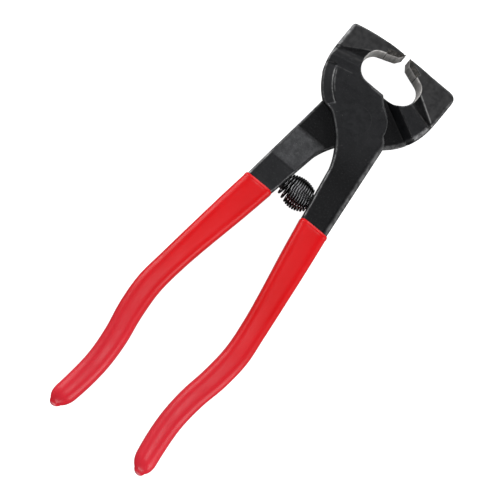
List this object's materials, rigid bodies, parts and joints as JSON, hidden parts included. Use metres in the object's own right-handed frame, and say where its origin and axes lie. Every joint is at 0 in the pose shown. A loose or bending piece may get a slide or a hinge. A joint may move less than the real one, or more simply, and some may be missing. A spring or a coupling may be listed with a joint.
{
  "type": "tile nippers",
  "caption": "Pincer-type hand nippers with wide carbide-tipped jaws, a lap-jointed pivot, a coil return spring and dipped vinyl grips, for nibbling ceramic tile to shape.",
  "frame": {"origin": "on the pivot axis, at the back face of the lap joint", "axes": "+Z along the pivot axis from the back face to the front face, +Y from the pivot to the jaws, +X to the right; the handles run along -Y"},
  "size_m": [0.0574, 0.2025, 0.016],
  "materials": {
    "forged_steel": "black oxide over forged and ground steel, satin",
    "rivet_steel": "black oxide, ground flush",
    "carbide": "ground sintered tungsten carbide",
    "braze": "heat-stained braze",
    "spring_wire": "black spring wire, semi-gloss",
    "grip_vinyl": "dipped soft vinyl, soft gloss"
  },
  "bodies": {
    "rear_half": {"rear_lever": "forged_steel", "pivot_rivet": "rivet_steel", "rear_carbide_tip": "carbide", "rear_braze_layer": "braze", "rear_spring_stud": "rivet_steel", "rear_grip": "grip_vinyl", "return_spring": "spring_wire"},
    "front_half": {"front_lever": "forged_steel", "front_carbide_tip": "carbide", "front_braze_layer": "braze", "front_spring_stud": "rivet_steel", "front_grip": "grip_vinyl"}
  },
  "joints": [
    {"name": "pivot", "type": "hinge", "parent": "rear_half", "child": "front_half", "pos_m": [0, 0, 0], "axis": [0, 0, 1], "range_deg": [-3, 20], "stiffness_Nm_per_rad": 1, "springref_deg": 20, "deforming": ["return_spring"]}
  ]
}
